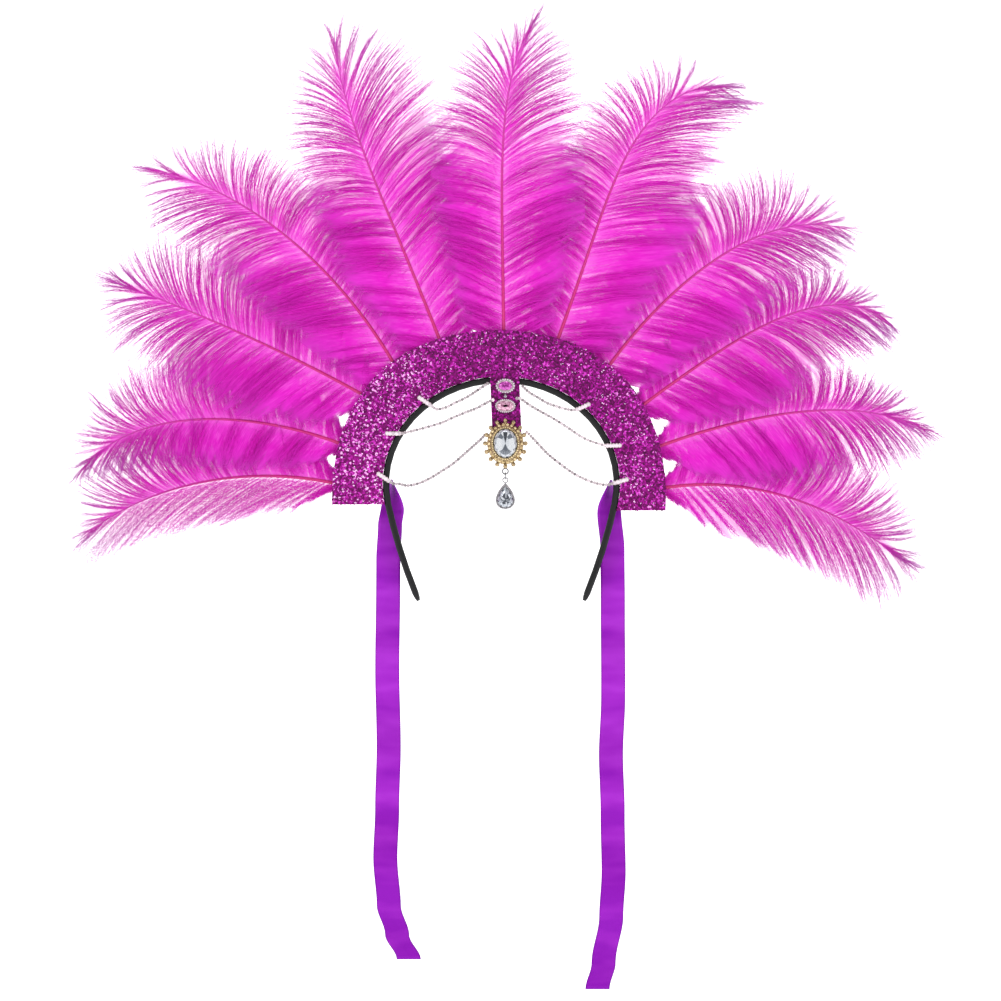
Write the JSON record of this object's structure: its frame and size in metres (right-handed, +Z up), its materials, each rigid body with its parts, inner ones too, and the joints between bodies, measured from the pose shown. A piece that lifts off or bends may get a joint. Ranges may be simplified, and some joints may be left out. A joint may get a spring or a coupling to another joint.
{
  "type": "carnival feather headdress",
  "caption": "Fan of curved plumes on a glitter half ring and a headband, with draped bead strands, an oval jewel with a hanging drop, and two long satin ribbons.",
  "frame": {"origin": "inner face of the headband at its crown, in the middle of its width and depth, where it sits on the head", "axes": "+Z up along the centre plume, front faces -Y, +X towards the viewer's right as seen from the front"},
  "size_m": [0.5255, 0.0517, 0.5921],
  "materials": {
    "band_satin": "black satin over a plastic band",
    "glitter": "magenta glitter foam",
    "plume": "dyed plume, soft barbs",
    "gold": "polished gold plate",
    "silver": "polished silver plate",
    "crystal": "clear cut stone, foil backed",
    "pink_stone": "pale pink cut stone",
    "magenta_stone": "magenta cut stone",
    "bead": "bright pinkish silver",
    "ribbon_satin": "purple satin"
  },
  "bodies": {
    "headdress": {"headband": "band_satin", "crown_plate": "glitter", "centre_tab": "glitter", "plume_01": "plume", "plume_02": "plume", "plume_03": "plume", "plume_04": "plume", "plume_05": "plume", "plume_06": "plume", "plume_07": "plume", "plume_08": "plume", "plume_09": "plume", "plume_10": "plume", "plume_11": "plume", "upper_oval_setting": "silver", "upper_oval_stone": "magenta_stone", "join_bead": "silver", "lower_oval_setting": "silver", "lower_oval_stone": "pink_stone", "jewel_setting": "gold", "jewel_stone": "crystal", "chain_left_upper": "bead", "chain_left_middle": "bead", "chain_left_lower": "bead", "chain_right_upper": "bead", "chain_right_middle": "bead", "chain_right_lower": "bead", "ribbon_left": "ribbon_satin", "ribbon_right": "ribbon_satin"},
    "link": {"jump_ring": "silver"},
    "drop": {"drop_setting": "silver", "drop_stone": "crystal"}
  },
  "joints": [
    {"name": "link_swing", "type": "hinge", "parent": "headdress", "child": "link", "pos_m": [0.0024, -0.00775, -0.05395], "axis": [0, 1, 0], "range_deg": [-60, 60]},
    {"name": "drop_swing", "type": "hinge", "parent": "link", "child": "drop", "pos_m": [0.0024, -0.00775, -0.0571], "axis": [1, 0, 0], "range_deg": [-50, 50]}
  ]
}
